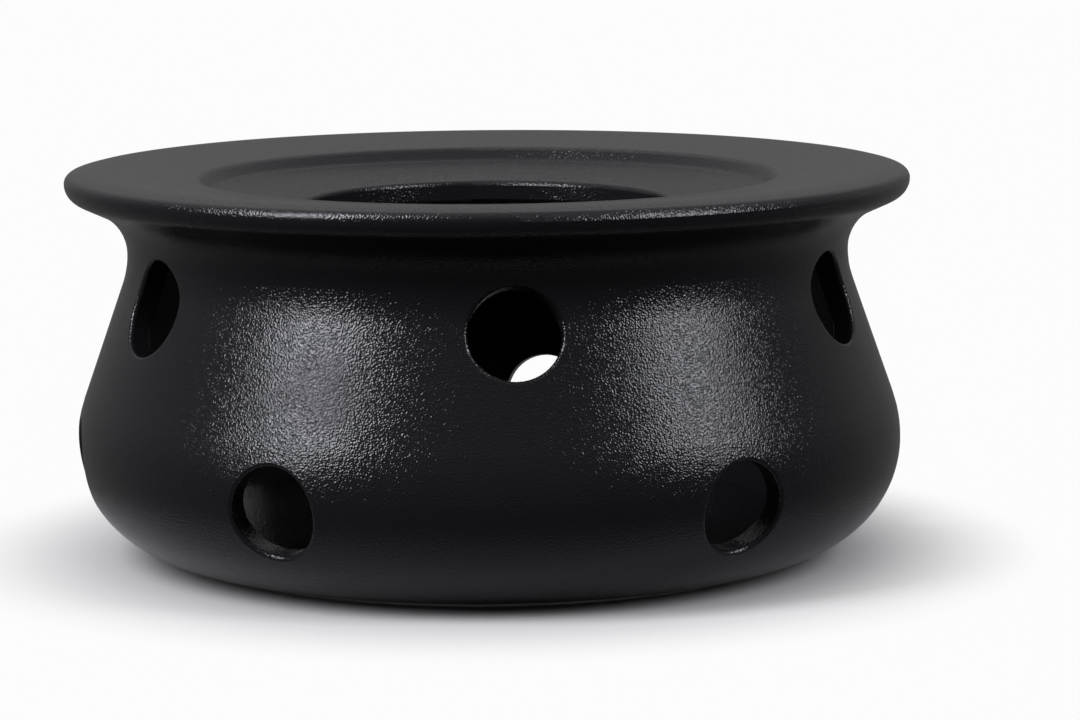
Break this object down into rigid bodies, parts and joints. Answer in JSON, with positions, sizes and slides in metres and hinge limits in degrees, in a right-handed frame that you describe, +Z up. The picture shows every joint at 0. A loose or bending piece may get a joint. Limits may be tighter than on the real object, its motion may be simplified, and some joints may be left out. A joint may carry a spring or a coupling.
{
  "type": "teapot warmer",
  "caption": "Round ceramic teapot warmer: bellied wall with round vents, hollow neck, overhanging lip, and a stepped, sloping seat round an open mouth.",
  "frame": {"origin": "on the table, on the upright axis, at the middle of the foot ring", "axes": "+Z up along the axis of the turned wall, -Y towards the front vent in the upper row"},
  "size_m": [0.165, 0.165, 0.076],
  "materials": {
    "black_glaze": "satin black glaze with a fine pebbled grain"
  },
  "bodies": {
    "root": {"warmer_body": "black_glaze"}
  },
  "joints": []
}
